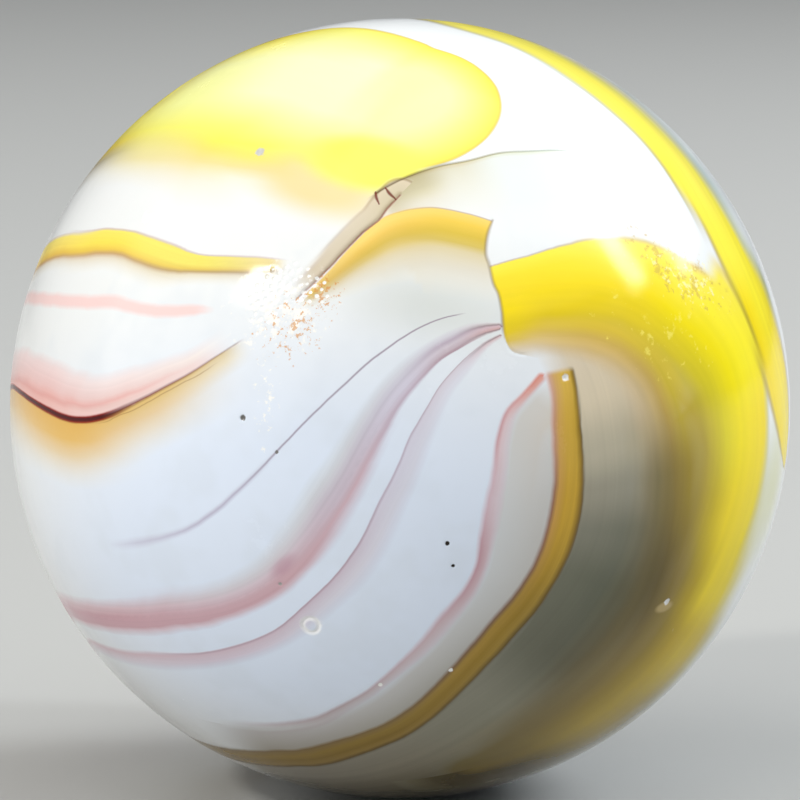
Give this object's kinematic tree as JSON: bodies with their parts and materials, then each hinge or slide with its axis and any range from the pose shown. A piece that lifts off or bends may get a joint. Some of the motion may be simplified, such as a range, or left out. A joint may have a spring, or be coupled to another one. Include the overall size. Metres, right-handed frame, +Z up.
{
  "type": "glass marble",
  "caption": "Swirled glass marble: a solid opaque white glass ball with yellow, ochre, rose and oxblood streams, a folded shear mark and small pits",
  "frame": {"origin": "centre of the ball", "axes": "+Z up, -Y the patterned face, tipped back 8.5 degrees; any axis through the centre is an axis of symmetry of the outline"},
  "size_m": [0.016, 0.016, 0.016],
  "materials": {
    "swirled_glass": "glossy opaque white glass with coloured streams, lightly scuffed"
  },
  "bodies": {
    "root": {"marble": "swirled_glass"}
  },
  "joints": []
}
